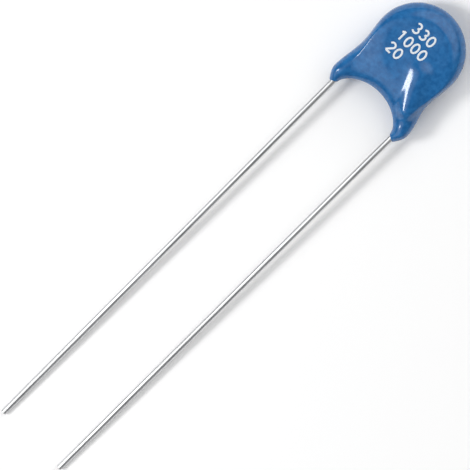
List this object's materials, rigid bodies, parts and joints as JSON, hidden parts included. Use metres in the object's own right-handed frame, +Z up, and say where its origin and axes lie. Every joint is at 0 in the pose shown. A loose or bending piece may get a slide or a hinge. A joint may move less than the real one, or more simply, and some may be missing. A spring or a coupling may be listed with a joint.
{
  "type": "ceramic disc capacitor",
  "caption": "Disc capacitor with a flat round body dipped in blue epoxy, short coated legs and long straight tinned wire leads for soldering into a circuit board.",
  "frame": {"origin": "on the table, under the middle of the part's box", "axes": "+X across the leads, toward the front wire; +Y along the table from the lead tips toward the disc; +Z up, out of the disc's front face"},
  "size_m": [0.0094, 0.057, 0.0038],
  "materials": {
    "epoxy_blue": "dipped and cured epoxy, smooth and half glossy",
    "tinned_wire": "bright tinned copper",
    "fired_silver": "matt fired silver",
    "solder": "dull tin solder",
    "ceramic_tan": "unglazed fired ceramic"
  },
  "bodies": {
    "root": {"coating": "epoxy_blue", "ceramic_disc": "ceramic_tan", "front_electrode": "fired_silver", "back_electrode": "fired_silver", "front_lead": "tinned_wire", "back_lead": "tinned_wire", "front_solder": "solder", "back_solder": "solder"}
  },
  "joints": []
}
